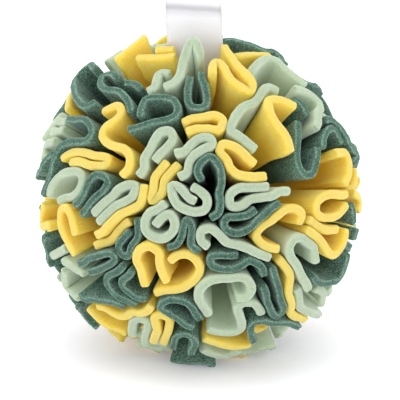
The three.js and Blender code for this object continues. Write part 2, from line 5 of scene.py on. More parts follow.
import bpy
import numpy as np
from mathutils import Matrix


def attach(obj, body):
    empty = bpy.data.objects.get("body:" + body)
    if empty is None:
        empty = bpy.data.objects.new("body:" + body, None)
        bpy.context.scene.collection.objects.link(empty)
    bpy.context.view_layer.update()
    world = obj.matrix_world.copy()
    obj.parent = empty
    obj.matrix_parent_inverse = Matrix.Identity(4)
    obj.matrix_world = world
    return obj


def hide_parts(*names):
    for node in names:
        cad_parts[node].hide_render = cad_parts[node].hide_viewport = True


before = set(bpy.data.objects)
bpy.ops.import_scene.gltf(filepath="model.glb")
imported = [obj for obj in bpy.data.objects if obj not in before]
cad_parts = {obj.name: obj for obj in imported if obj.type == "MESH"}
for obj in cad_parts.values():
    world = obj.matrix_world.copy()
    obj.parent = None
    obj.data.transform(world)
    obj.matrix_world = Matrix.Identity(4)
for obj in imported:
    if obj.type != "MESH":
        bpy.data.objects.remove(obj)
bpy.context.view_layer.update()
print("frame loaded:", len(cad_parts), "nodes")

# The ball, with the same sizes as the part
ball = {
    "rim": 79.0,  # outer edge of a tab, from the ball's centre
    "centre": 72.0,  # height of the ball's centre
    "cloth": 3.6,  # thickness of the fleece
    "clear": 0.9,  # least room between two tabs at the rim
    "step": 4.6,  # spacing of the points that the edges settle with
    "cuts": 3,  # how many times over the corners of a fold are rounded off
    "tabs": 191,
    "freeTurned": 3.3, "freeFiller": 4.0,  # room that a tab needs to be added, before they settle
    "flatter": 6.5,  # how much less the tabs reach on the ball's right
}
# Places seen from the front round which the filling tabs reach less: x, z, width and depth
hollows = [(-27, -71, 30, 8), (31, -69, 26, 7), (54, 54, 26, 5)]
filler = {"least": -4.0, "most": 3.0, "steps": 5, "slant": 1.5}  # reach of a filling tab beyond the rim
trials = {"count": 2600, "stride": 989, "turn": 2.4}  # places tried for the tabs that fill the gaps
# How the outer edges settle: rounds in all and with a pull home, how often neighbours are found
# and how near they are, the stiffness of the folds, and the size of a move
settling = {
    "rounds": 260, "homing": 200, "look": 20, "sight": 11.4, "stiff": 0.35, "home": 0.01, "haste": 1.25,
}
# Which filling tabs join a bunch of the front: how far back, and how near one of its tabs, which
# is measured where their middles are within the look; the others join a bunch round the back
joining = {"behind": -0.3, "gap": 9, "look": 100}
backColours = ["sage", "teal", "yellow", "teal", "yellow", "teal", "yellow", "sage"]
# The photograph's view: its tilt in degrees, its distance and where it shows the ball's centre
view = {"tilt": 15.0, "eye": 1040.0, "ballPixel": (203, 197), "mmPerPixel": 0.468}
# The ribbon loop: width and thickness, extra room from the tabs, distance between its two legs at
# the rim and in the belly, its top and its foot from the ball's centre, and where it is seen
ribbon = {
    "width": 25.0, "thick": 1.0, "room": 2.2, "gap": 8.0, "belly": 9.0,
    "top": 101.0, "foot": 49.2, "x": -3.7, "z": 72.4,
    "shoulder": (8.0, 0.9),  # how deep below the rim its legs start to close, and to what share
    "neck": 3.0,  # how far above the rim and below the bend its legs change their course
    "paintedBendShade": 0.3, "paintedBendShadeWide": 0.35,  # height on the bend of the band of painted shade, and its width
    "crease": 0.28, "creaseSpacing": 17.0,
    "slant": 1.35, "slantOver": 20.0,  # how much higher the bend's left edge stands than its middle
    "legPoints": 26, "bendPoints": 25, "widthPoints": 13,
}

tilt = math.radians(view["tilt"])
rightward = np.array([1.0, 0.0, 0.0])
upward = np.array([0.0, math.sin(tilt), math.cos(tilt)])
toward = np.array([0.0, -math.cos(tilt), math.sin(tilt)])

# Tabs seen from the front, a row each: bunch, start of the outer edge (x right and z up of the
# centre), reach, and the folds as runs of (length, heading in degrees) or (length, heading, rise),
# where the rise is how far that corner stands beyond the reach
frontTabs = [
    ("yellow_01", -64, 16, 79, [(19, -10), (6, 90), (22, 176)]),
    ("yellow_01", -48, 41, 80, [(11, 18), (7, -105), (11, -145), (6, -72), (15, -30), (11, -106)]),
    ("yellow_02", -18, 17, 78, [(20, -115), (6, -59), (24, 64)]),
    ("yellow_02", -27, 6, 79, [(10, -103), (12, -156), (15, -135)]),
    ("yellow_02", -50, -25, 77, [(22, 41)]),
    ("yellow_03", -61, -28, 80, [(12, 119), (12, 97), (5, 11), (14, -78)]),
    ("yellow_03", -76, -3, 79, [(12, -97), (5, 3)]),
    ("yellow_04", -59, 55, 79, [(9, -122), (6, -92)]),
    ("yellow_05", -42, 65, 84, [(9, 34), (10, 43, 3)]),
    ("yellow_05", -32, 66, 82, [(19, 5)]),
    ("yellow_05", -23, 69.5, 83, [(9, 2)]),
    ("yellow_06", 10, 72, 83, [(12, -58), (14, -42), (5, -139, -2), (13, 146), (11, 118), (9, -117)]),
    ("yellow_06", 15, 67, 79, [(10, 8), (7, -6)]),
    ("yellow_07", -9, 36, 80, [(10, 14), (11, -7), (7, -105), (8, 171), (9, -171)]),
    ("yellow_07", 24, 16, 80, [(14, 146), (8, 173), (7, -72), (12, -40), (14, -6)]),
    ("yellow_08", 44, 43, 82, [(15, 158), (10, -82), (10, -45), (11, -73)]),
    ("yellow_09", 37, -25, 79, [(8, 164), (8, 128), (9, 45), (12, 29), (7, -28), (6, -105)]),
    ("yellow_10", 63, 21, 80, [(6, 4), (9, -87), (8, -100)]),
    ("yellow_10", 69, 2, 80, [(9, -168), (9, -143), (8, -77), (9, 16), (9, 55)]),
    ("yellow_10", 50, -11, 79, [(7, -45), (9, 3)]),
    ("yellow_10", 49, -16, 80, [(7, -18), (12, -69), (9, 45), (8, 87)]),
    ("yellow_11", -28, -42, 80, [(12, 124), (9, 66), (8, 3), (8, -71), (10, -70)]),
    ("yellow_11", -17, -31, 79, [(8, 33), (8, -21), (7, -75), (11, -137), (14, -163)]),
    ("yellow_12", -55, -53, 79, [(11, -43), (12, -29)]),
    ("yellow_12", -50, -51, 79, [(18, -32), (14, 38)]),
    ("yellow_13", -24, -69, 79, [(7, 75), (7, 97), (8, -11), (7, -101), (7, -118)]),
    ("yellow_14", 0, -68, 79, [(12, -16), (11, 0)]),
    ("yellow_15", 37, -29, 79, [(9, -51), (11, -88), (10, -103), (8, -14)]),
    ("yellow_16", 71, 2, 77, [(5, -30), (7, -105)]),
    ("sage_01", -29, 7, 80, [(15, 75), (11, 67), (7, -12), (6, -107), (11, -128)]),
    ("sage_02", -52, -8, 79, [(13, 42), (13, 28), (8, -87), (10, -155), (12, -143)]),
    ("sage_03", -24, -10, 80, [(6, 39), (6, -13), (8, -96), (8, -149), (8, 155), (8, 99), (14, 29)]),
    ("sage_03", -3, -2, 80, [(5, 174), (10, 117), (4, -150), (10, -87), (9, -18), (9, 17), (14, 120)]),
    ("sage_04", -13, 18, 80, [(7, 12), (8, 74), (9, 0), (5, -90), (9, -171), (10, -107), (7, -155)]),
    ("sage_05", 0, -26, 80, [(8, 132), (8, 38), (17, -27), (17, -22)]),
    ("sage_06", 31, 5, 80, [(14, -178), (10, -130), (7, -37), (13, 28), (14, 15)]),
    ("sage_07", -65, 36, 78, [(10, 180), (6, -100), (10, 11)]),
    ("sage_07", -71, 27, 79, [(6, -145), (7, -94)]),
    ("sage_08", -74, 3, 79, [(10, 51), (8, 38), (6, -42), (9, -106), (10, -151)]),
    ("sage_09", -72, -28, 78, [(7, 27)]),
    ("sage_09", -67, -31, 79, [(11, -23)]),
    ("sage_09", -66, -35, 79, [(8, -90), (9, -37)]),
    ("sage_10", -26, 50, 80, [(4, 11), (9, 87), (6, -5)]),
    ("sage_10", -20, 53, 81, [(8, 14), (11, 77, 2), (12, 66, 11), (10, -66, 4)]),
    ("sage_11", 22, 59, 80, [(9, 47), (6, 5), (20, -41)]),
    ("sage_11", 44, 51, 80, [(11, -18), (8, -62), (9, -122)]),
    ("sage_12", 36, 50, 80, [(7, 145), (15, -138), (14, -139), (8, -42), (10, -30)]),
    ("sage_13", 1, -57, 80, [(10, 117), (8, 74), (12, 9), (11, 0), (9, -78), (8, -173)]),
    ("sage_13", 3, -64, 79, [(9, -12), (10, 14), (13, 120), (10, 10), (7, -58)]),
    ("sage_14", -1, -73, 79, [(12, -18), (8, 25)]),
    ("sage_15", 50, -44, 80, [(13, 117), (10, 114), (8, 43), (9, -21), (9, -96)]),
    ("sage_16", 44, -44, 79, [(9, -93), (13, -18)]),
    ("sage_16", 53, -44, 77, [(5, -13), (5, -100)]),
    ("sage_17", -34, -66, 79, [(8, 94), (9, 3), (13, -98)]),
    ("sage_18", -46, 64, 79, [(9, 36)]),
    ("teal_01", -5, 8, 80, [(8, 77), (8, 31), (7, -55), (13, -77), (9, -96), (6, -166)]),
    ("teal_02", -18, -22, 79, [(6, 5), (12, 77), (4, 12), (11, -88), (7, -53)]),
    ("teal_03", -36, -16, 78, [(10, -127), (6, -61), (5, 15), (10, 87), (8, 73)]),
    ("teal_03", -58, -33, 79, [(9, 39), (11, -2), (5, -96), (14, -169)]),
    ("teal_03", -38, -30, 79, [(15, -137), (21, -37)]),
    ("teal_03", -34, -33, 79, [(11, -123), (16, -27)]),
    ("teal_04", -58, -48, 79, [(9, -15), (11, 2)]),
    ("teal_04", -59.5, -51, 80, [(7, -75), (9, -45)]),
    ("teal_05", 25, -7, 80, [(9, -162), (8, -171), (7, -74), (10, 3), (13, 45), (9, 18)]),
    ("teal_06", -37, 54, 79, [(5, 0), (4, -50)]),
    ("teal_06", -40, 56, 80, [(7, 145), (7, -125), (5, -49), (7, 4), (12, -69)]),
    ("teal_06", -51, 61, 82, [(4, 150), (8, -147), (10, -95), (9, -49), (6, 36)]),
    ("teal_07", -65, 37, 80, [(9, 3), (10, -59), (8, -149), (9, 174), (11, -115), (17, -106)]),
    ("teal_07", -72, 21, 79, [(7, -129), (8, -117)]),
    ("teal_08", -62, -4, 79, [(10, 56), (8, 56), (7, -8), (7, -98), (17, -136)]),
    ("teal_09", -75, -16, 79, [(9, -90), (9, -72)]),
    ("teal_10", 0, -58, 80, [(11, 135), (13, 178), (5, -117), (10, -25), (9, -21)]),
    ("teal_10", -15, -72, 79, [(6, 86), (6, 13), (6, -31), (7, -102)]),
    ("teal_11", 17, -28, 79, [(8, -174), (6, 163), (7, -86), (11, -9), (10, 43), (8, -33), (5, -90)]),
    ("teal_11", 29, -42, 79, [(10, -79), (7, -63), (6, 35), (10, 106), (12, 106)]),
    ("teal_12", 24, -69, 79, [(11, 100), (12, 0), (12, -13)]),
    ("teal_13", 50, -41, 80, [(15, 0), (14, 75)]),
    ("teal_14", 70, -3, 79, [(10, -80)]),
    ("teal_14", 73, -15, 79, [(6, -100)]),
    ("teal_15", 57, 38, 80, [(8, -28), (11, -65), (7, -39), (5, -124)]),
    ("teal_15", 58, 24, 79, [(7, 90), (5, 49), (10, -58)]),
    ("teal_15", 45, 36, 79, [(12, -92), (13, -88), (7, -11), (7, 72), (7, 90)]),
    ("teal_15", 43, 47, 78, [(5, -38), (7, -62)]),
    ("teal_16", 10, 74, 79, [(5, 10), (11, -24), (12, -9), (6, -76)]),
    ("teal_17", -6, 57, 80, [(7, -101), (8, -87), (9, -3), (9, 93), (9, 93)]),
    ("teal_17", -36, 32, 80, [(11, 15), (14, 11), (8, 93), (9, 168), (8, -170), (8, -99)]),
]

# Fold patterns of the tabs that the front view doesn't show, as runs of (length, turn)
foldPatterns = [
    [(18, 0), (6, 88), (20, 86)],
    [(9, 0), (9, 62), (9, -105), (10, -70), (9, 95)],
    [(14, 0), (13, 24), (10, -40)],
    [(8, 0), (9, 75), (8, 68), (9, 60), (8, 20)],
    [(12, 0), (16, 96), (9, -30)],
    [(11, 0), (11, -28)],
    [(7, 0), (6, 70)],
]


def unit(v):
    return v / np.linalg.norm(v, axis=-1, keepdims=True)


def seenAt(x, z, radius):
    # direction from the ball's centre to the point seen at x, z on a ball of that radius
    spread = (x * x + z * z) / view["eye"]
    scale = 1 + spread / view["eye"]
    inside = spread * spread - scale * (x * x + z * z - radius * radius)
    depth = (spread + math.sqrt(max(inside, 0))) / scale
    near = 1 - depth / view["eye"]
    return unit(rightward * (x * near) + upward * (z * near) + toward * depth)


def offView(direction, x, z):
    # how far from x, z a direction on the ball is seen
    return math.hypot(direction.dot(rightward) * ball["rim"] - x, direction.dot(upward) * ball["rim"] - z)


def rounded(corners):
    path = np.array(corners, float)
    for _ in range(ball["cuts"]):
        a, b = path[:-1], path[1:]
        cut = np.stack([a * 0.75 + b * 0.25, a * 0.25 + b * 0.75], 1).reshape(-1, path.shape[1])
        path = np.vstack([path[:1], cut[1:-1], path[-1:]])
    return path


def evenly(line):
    # a tab's outer edge from a line of points: its course on the ball, and each point's reach
    steps = np.linalg.norm(np.diff(unit(line), axis=0), axis=1) * ball["rim"]
    along = np.concatenate([[0], np.cumsum(steps)])
    count = max(3, math.floor(along[-1] / ball["step"] + 0.5) + 1)
    goals = along[-1] * np.arange(count) / (count - 1)
    points = np.stack([np.interp(goals, along, line[:, k]) for k in range(3)], 1)
    return unit(points) * ball["rim"], np.linalg.norm(points, axis=1)


def frontEdge(x, z, reach, runs):
    corners = [(x, z, reach)]
    for length, heading, *rise in runs:
        px, pz, _ = corners[-1]
        corners.append((
            px + length * math.cos(math.radians(heading)),
            pz + length * math.sin(math.radians(heading)),
            reach + sum(rise),
        ))
    return evenly(np.array([seenAt(u, v, r) * r for u, v, r in rounded(corners)]))


def foldedEdge(place, heading, runs, reach, slant):
    corners = [(0.0, 0.0)]
    for length, turn in runs:
        heading += math.radians(turn)
        px, pz = corners[-1]
        corners.append((px + length * math.cos(heading), pz + length * math.sin(heading)))
    path = rounded(corners)
    path = (path - path.mean(axis=0)) / ball["rim"]
    side = np.cross([0.0, 0.0, 1.0], place)
    # straight above and below the centre, the sideways direction is taken along x
    if np.linalg.norm(side) < 0.2:
        side = np.array([1.0, 0.0, 0.0])
    side = unit(side - place * side.dot(place))
    over = np.cross(place, side)
    reaches = reach + slant * np.linspace(-1, 1, len(path))
    return evenly(unit(place + path[:, :1] * side + path[:, 1:] * over) * reaches[:, None])


def newTab(bunch, course, fixed=False):
    return {"bunch": bunch, "edge": course[0], "reaches": course[1], "fixed": fixed}


def shorter(place):
    # how much less a filling tab reaches at a place on the ball, to the right and round the hollows
    less = ball["flatter"] * math.sqrt(max(0, place[0]))
    for x, z, wide, deep in hollows:
        apart = np.linalg.norm(seenAt(x, z, ball["rim"]) - place) * ball["rim"]
        less += deep * max(0, 1 - (apart / wide) ** 2)
    return less


def isFree(edge, tabs, room):
    others = np.vstack([tab["edge"] for tab in tabs])
    return np.linalg.norm(edge[:, None] - others[None], axis=2).min() > room


def spiralPoint(index, count):
    height = 1 - 2 * (index + 0.5) / count
    ring = math.sqrt(1 - height * height)
    angle = index * math.pi * (3 - math.sqrt(5))
    return np.array([ring * math.cos(angle), ring * math.sin(angle), height])


def gathered(spots, moves, count):
    # sums the moves of all spots that share a point
    return np.stack([np.bincount(spots, moves[:, k], count) for k in range(moves.shape[1])], 1)


def settle(tabs, obstacle):
    # moves the edges apart until none crowds another, keeping lengths and folds
    at = np.vstack([tab["edge"] for tab in tabs])
    owner = np.concatenate([np.full(len(tab["edge"]), k) for k, tab in enumerate(tabs)])
    index = np.concatenate([np.arange(len(tab["edge"])) for tab in tabs])
    last = np.append(owner[1:] != owner[:-1], True)
    fixed = np.array([tab["fixed"] for tab in tabs])[owner]
    home, count = at.copy(), len(at)
    ties = []
    for hop, grip in ((1, 1.0), (2, settling["stiff"]), (3, settling["stiff"])):
        a = np.nonzero(owner[hop:] == owner[:-hop])[0]
        ties.append((a, a + hop, np.linalg.norm(at[a] - at[a + hop], axis=1), np.full(len(a), grip)))
    tieA, tieB, rest, grip = (np.concatenate(column) for column in zip(*ties))
    for turn in range(settling["rounds"]):
        if turn % settling["look"] == 0:
            apart = ((at[:, None] - at[None]) ** 2).sum(axis=2)
            hops = index[:, None] - index[None]
            # points a few steps apart on the same edge don't crowd each other
            beside = (owner[:, None] == owner[None]) & (hops > -4) & (hops < 5)
            p, b = np.nonzero((apart <= settling["sight"] ** 2) & ~beside & ~last[None])
            touches = (owner[p] == obstacle) | (owner[b] == obstacle)
            room = ball["cloth"] + ball["clear"] + touches * ribbon["room"]
        line = at[b + 1] - at[b]
        share = np.clip(((at[p] - at[b]) * line).sum(axis=1) / (line ** 2).sum(axis=1), 0, 1)[:, None]
        push = at[p] - (at[b] + line * share)
        away = np.linalg.norm(push, axis=1)
        near = (away < room) & (away >= 1e-6)
        share, away = share[near], away[near]
        push = push[near] * ((room[near] - away) / away / 2)[:, None]
        pull = at[tieB] - at[tieA]
        length = np.linalg.norm(pull, axis=1)
        pull = pull * (0.5 * grip * (length - rest) / length)[:, None]
        one = np.ones((len(push), 1))
        spots = np.concatenate([p[near], b[near], b[near] + 1, tieA, tieB])
        moves = np.vstack([
            np.hstack([push, one]),
            np.hstack([push * (share - 1), 1 - share]),
            np.hstack([-push * share, share]),
            np.hstack([pull, grip[:, None]]),
            np.hstack([-pull, grip[:, None]]),
        ])
        total = gathered(spots, moves, count)
        moved = at + total[:, :3] * (settling["haste"] / np.maximum(1, total[:, 3:]))
        moved += (home - moved) * (settling["home"] if turn < settling["homing"] else 0)
        at = np.where(fixed[:, None], at, unit(moved) * ball["rim"])
    for k, tab in enumerate(tabs):
        tab["edge"] = at[owner == k]


def layOut():
    # the ribbon and one tab under the ball stand still, and the others settle round them
    loop = seenAt(ribbon["x"], ribbon["z"], ball["rim"])
    half = ribbon["width"] / 2 / ball["rim"]
    ends = np.array([unit(loop + rightward * x) for x in (-half, half)])
    foot = foldedEdge(np.array([0.0, 0.0, -1.0]), 0, [(14, 0), (14, 0)], ball["rim"], 0)
    tabs = [newTab("ribbon", evenly(ends), True), newTab(None, foot, True)]
    for bunch, *row in frontTabs:
        tabs.append(newTab(bunch, frontEdge(*row)))
    for _, *row in frontTabs:
        edge, reaches = frontEdge(*row)
        turned = edge * [1, -1, -1]
        if isFree(turned, tabs, ball["freeTurned"]):
            tabs.append(newTab(None, (turned, reaches - shorter(unit(turned.sum(axis=0))))))
    for trial in range(trials["count"]):
        if len(tabs) > ball["tabs"]:
            break
        place = spiralPoint((trial * trials["stride"]) % trials["count"], trials["count"])
        runs = foldPatterns[trial * len(foldPatterns) // trials["count"]]
        share = (trial * 2 % filler["steps"]) / (filler["steps"] - 1)
        reach = ball["rim"] + filler["least"] + (filler["most"] - filler["least"]) * share - shorter(place)
        slant = filler["slant"] if trial % 2 else -filler["slant"]
        made = foldedEdge(place, trial * trials["turn"], runs, reach, slant)
        if isFree(made[0], tabs, ball["freeFiller"]):
            tabs.append(newTab(None, made))
    settle(tabs, obstacle=0)
    return tabs


def toFans(points, edge):
    # how near points come to the flat fans of rays between an edge's neighbouring points
    a, b = edge[:-1], edge[1:]
    normal = unit(np.cross(a, b))
    off = np.abs(points @ normal.T)
    inside = (points @ np.cross(normal, a).T > 0) & (points @ np.cross(b, normal).T > 0)
    rays = unit(edge)
    along = points @ rays.T
    toRay = np.sqrt(np.maximum((points ** 2).sum(axis=1)[:, None] - along ** 2, 0))
    off = np.where(inside, off, np.minimum(toRay[:, :-1], toRay[:, 1:]))
    far = np.linalg.norm(points[:, None] - a[None], axis=2) > ball["rim"] / 2
    return np.where(far, np.inf, off).min()


def shareOut(tabs):
    # gives every tab without a bunch to the nearest one, or to a bunch of the back
    for tab in tabs:
        tab["middle"] = unit(tab["edge"].sum(axis=0))
    front = [tab for tab in tabs if tab["bunch"] and tab["bunch"] != "ribbon"]
    centres = []
    for k, colour in enumerate(backColours):
        spot = spiralPoint(k + 0.5, len(backColours) * 2 + 2)
        centres.append((f"{colour}_back_{k + 1}", rightward * spot[0] + upward * spot[1] - toward * spot[2]))
    middles = np.array([tab["middle"] for tab in front])
    for tab in tabs:
        if tab["bunch"]:
            continue
        gaps = np.linalg.norm(middles - tab["middle"], axis=1) * ball["rim"]
        for k in np.nonzero(gaps < joining["look"])[0]:
            other = front[k]
            gaps[k] = min(gaps[k], toFans(tab["edge"], other["edge"]), toFans(other["edge"], tab["edge"]))
        nearest = int(np.argmin(gaps))
        facing = tab["middle"].dot(toward)
        if facing > 0 or (facing > joining["behind"] and gaps[nearest] < joining["gap"]):
            tab["bunch"] = front[nearest]["bunch"]
        else:
            tab["bunch"] = min(centres, key=lambda one: np.linalg.norm(one[1] - tab["middle"]))[0]
    bunches = {}
    for tab in tabs:
        if tab["bunch"] != "ribbon":
            bunches.setdefault(tab["bunch"], []).append(tab)
    return bunches


# How a fleece tab is made from its outer edge
fleece = {
    "along": 0.95,  # spacing of the mesh along the edge
    "root": 18.0,  # where the gathered cloth starts, from the ball's centre
    "levels": (18, 32, 42, 49, 55, 60, 64, 67.5, 70.5, 73, 75, 76.5),  # for a reach of 79
    "leastStep": 0.6,  # least room between the last of these and the rounding of the cut edge
    "curve": 8,  # points of the smooth curve to each settled point
    "ends": (0, 0.2, 0.55, 1.1),  # where the mesh is finer, from each end of the edge
    "angles": (0, 25, 48, 70, 90),  # steps round the cut edge, from the face to its middle
    "cornerRound": 1.0,  # rounding of the strip's corners
    "sideRound": 1.1,  # most rounding of its sides
    "short": 0.3,  # how much shorter it is than its edge, as the pile adds to it
    "thinnest": 1.3, "narrowing": 0.8,  # half its thickness at the root, and how fast it gets there
    "inFold": 0.86,  # share of a fold's inner radius that the cloth fills
    "rise": 0.8, "riseSpacing": 16.0,  # unevenness of the reach
    "rimDepth": 2.0, "looseDepth": 30.0,  # the firm rim, and how far below it the cloth is loosest
    "lean": (2.6, 46.0), "bulge": (0.8, 19.0),  # how far the loose cloth strays, and over what distance
    "lumps": ((0.3, 15.0), (0.1, 5.0), (0.1, 2.4)),  # size of the pile's lumps and their spacing
    "lift": 0.02,  # least height above the surface that the ball rests on
    "shadeFrom": 3.0, "shade": 15.0,  # where below the rim the painted shade starts, and over what depth it gets full
    "flatShare": 0.8,  # cut area over width times length: a strip narrows into its root
}
# Thickness of each fleece at the rim, rounding of its cut edge, the dip between its two piles, and
# the tone across half the cut edge, from the face to the middle: 1 is pale pile, -1 the dark knit
paleCut = (0.0, 0.3, 0.7, 0.95, 1.0, 1.0)
linedCut = (0.0, 0.3, 0.9, 0.1, -0.35, -0.6)
cloths = {
    "yellow": {"thick": 4.0, "round": 1.4, "groove": 0.15, "cut": paleCut},
    "sage": {"thick": 4.1, "round": 1.5, "groove": 0.15, "cut": paleCut},
    "teal": {"thick": 3.5, "round": 0.9, "groove": 0.35, "cut": linedCut},
}

# How the filling tabs get their colours
mixing = {
    "behind": -0.17,  # how far back the tabs start to mix their colours
    "patch": 34.0,  # size of the colours' patches there
    "seed": 14,
    "outline": -0.35,  # how far back a filling tab still shows at the outline
}
# Colours that show between the bunches at the outline: x, z and the cloth of the filling tab there
outlineTips = [
    (-4.7, -75.8, "teal"), (66.9, 37.4, "sage"), (70.2, -29.5, "teal"),
    (-67.4, -32.3, "teal"), (-71.6, -21.5, "teal"), (-72.1, 10.8, "teal"), (-66.5, -38.4, "sage"),
    (-54.3, 53.8, "sage"), (-16.8, 75.3, "yellow"), (62.0, 46.5, "teal"), (-63.0, -48.0, "teal"),
]


def softNoise(points, spacing, seed, waves=9):
    # smooth noise about -1 to 1, from a sum of waves in random directions
    dice = np.random.default_rng(seed)
    directions = unit(dice.normal(size=(waves, 3))) * dice.uniform(0.7, 1.4, (waves, 1))
    phases = dice.uniform(0, 2 * math.pi, waves)
    angle = points @ directions.T * (2 * math.pi / spacing) + phases
    return np.sin(angle).sum(axis=-1) * (1.5 / waves)


def softShift(points, spacing, seed):
    return np.stack([softNoise(points, spacing, seed + k) for k in range(3)], -1)


def smoothEdge(tab, spacing):
    # a Catmull-Rom curve through the settled points, with closer points at both ends
    edge = np.hstack([tab["edge"], tab["reaches"][:, None]])
    padded = np.vstack([2 * edge[0] - edge[1], edge, 2 * edge[-1] - edge[-2]])
    t = np.linspace(0, 1, fleece["curve"] + 1)[:-1, None]
    pieces = []
    for p0, p1, p2, p3 in zip(padded, padded[1:], padded[2:], padded[3:]):
        pieces.append(0.5 * (2 * p1 + (p2 - p0) * t + (2 * p0 - 5 * p1 + 4 * p2 - p3) * t ** 2
                             + (3 * p1 - p0 - 3 * p2 + p3) * t ** 3))
    smooth = np.vstack(pieces + [edge[-1:]])
    line, reaches = unit(smooth[:, :3]) * ball["rim"], smooth[:, 3]
    along = np.concatenate([[0], np.cumsum(np.linalg.norm(np.diff(line, axis=0), axis=1))])
    length = along[-1]
    ends = np.array(fleece["ends"])
    count = max(2, round((length - 2 * ends[-1]) / spacing))
    middle = np.linspace(ends[-1], length - ends[-1], count + 1)
    goals = np.concatenate([ends[:-1], middle, length - ends[-2::-1]])
    rays = unit(np.stack([np.interp(goals, along, line[:, k]) for k in range(3)], 1))
    return rays, np.interp(goals, along, reaches), np.minimum(goals, length - goals), length


def roundOff(distance, radius):
    # how much a rounding of that radius takes off at a distance from the end
    inside = np.clip(radius - distance, 0, radius)
    return radius - np.sqrt(radius ** 2 - inside ** 2)


def tabGrid(tab, cloth, seed):
    # a tab's skin as columns along its edge: up one face, over the cut edge and down the other
    rays, reaches, fromEnd, length = smoothEdge(tab, fleece["along"])
    tangent = np.gradient(rays, axis=0)
    tangent[1:-1] = (tangent[:-2] + 2 * tangent[1:-1] + tangent[2:]) / 4
    side = unit(np.cross(tangent, rays))
    floor = ball["centre"] / np.maximum(1e-6, -rays[:, 2])
    rise = softNoise(rays * ball["rim"] + seed * 31.7, fleece["riseSpacing"], seed) * fleece["rise"]
    reach = np.minimum(reaches + rise - fleece["short"], floor) - roundOff(fromEnd, fleece["cornerRound"])
    half = cloth["thick"] / 2
    endTaper = (half - roundOff(fromEnd, min(cloth["round"], fleece["sideRound"]))) / half
    # tight folds are thinner on their inner side, so the cloth doesn't run into itself
    step = np.linalg.norm(np.gradient(rays * ball["rim"], axis=0), axis=1)
    turn = (np.gradient(unit(tangent), axis=0) * side).sum(axis=1) / step
    top = ball["rim"] - cloth["round"]
    wall = [(level / top, 0.0) for level in fleece["levels"] if level < top - fleece["leastStep"]]
    edge = [(0.0, angle) for angle in fleece["angles"]]
    rows = []
    for hand in (1, -1):
        limit = np.minimum(1, fleece["inFold"] / np.clip(turn * hand, 0.05, None) / half)
        column = []
        for share, angle in wall + edge:
            if share:
                radius = share * (reach - cloth["round"])
                wide = np.maximum(half * (radius / ball["rim"]) ** fleece["narrowing"], fleece["thinnest"])
            else:
                a = math.radians(angle)
                radius = reach - cloth["round"] * (1 - math.sin(a))
                wide = half - cloth["round"] * (1 - math.cos(a))
            column.append(rays * radius[:, None] + side * (wide * endTaper * limit * hand)[:, None])
        rows.append(column)
    ridge = rays * (reach - cloth["groove"])[:, None]
    grid = np.stack(rows[0] + [ridge] + rows[1][::-1], 1)
    cut = np.zeros(grid.shape[1])
    middle, steps = grid.shape[1] // 2, len(edge)
    cut[middle - steps:middle + steps + 1] = cloth["cut"] + cloth["cut"][-2::-1]
    return grid, cut, length


def loosened(points):
    # the give of hand-tied cloth: walls that lean and bulge below the rim, and uneven pile
    radius = np.linalg.norm(points, axis=-1, keepdims=True)
    depth = np.clip((ball["rim"] - fleece["rimDepth"] - radius) / fleece["looseDepth"], 0, 1)
    moved = points.copy()
    for seed, name in ((11, "lean"), (21, "bulge")):
        size, spacing = fleece[name]
        moved += softShift(points, spacing, seed) * (size * depth)
    for k, (size, spacing) in enumerate(fleece["lumps"]):
        moved += softShift(points, spacing, 31 + 3 * k) * size
    return moved


def tabFaces(columns, rows):
    # quads around the loop and along the edge, and a ladder of quads over both ends
    i, j = np.meshgrid(np.arange(columns - 1), np.arange(rows), indexing="ij")
    here, after = i * rows + j, (i + 1) * rows + j
    below, beyond = i * rows + (j + 1) % rows, (i + 1) * rows + (j + 1) % rows
    skin = np.stack([here, after, beyond, below], -1).reshape(-1, 4)
    k = np.arange(rows // 2 - 1)
    first = np.stack([k, k + 1, rows - 2 - k, rows - 1 - k], -1)
    tip = rows // 2 - 1
    caps = [tuple(face) for face in first] + [(tip, tip + 1, tip + 2)]
    base = (columns - 1) * rows
    ends = caps + [tuple(base + v for v in face[::-1]) for face in caps]
    return [tuple(face) for face in skin.tolist()] + ends


def clothOf(tab):
    # round the back the tabs mix the three fleeces in patches of a few tabs, as the front does
    if "tip" in tab:
        return tab["tip"]
    if tab["middle"].dot(toward) > mixing["behind"]:
        return tab["bunch"].split("_")[0]
    spot = tab["middle"][None] * ball["rim"]
    leanings = [softNoise(spot, mixing["patch"], mixing["seed"] + k)[0] for k in range(len(cloths))]
    return list(cloths)[int(np.argmax(leanings))]


def colourOutline(tabs):
    # the filling tabs come after the ribbon, the still tab and the front's own tabs, and those at
    # the outline take the colours that are seen there
    fillers = [tab for tab in tabs[2 + len(frontTabs):] if tab["middle"].dot(toward) > mixing["outline"]]
    for x, z, cloth in outlineTips:
        apart = [offView(tab["middle"], x, z) for tab in fillers]
        fillers[int(np.argmin(apart))]["tip"] = cloth


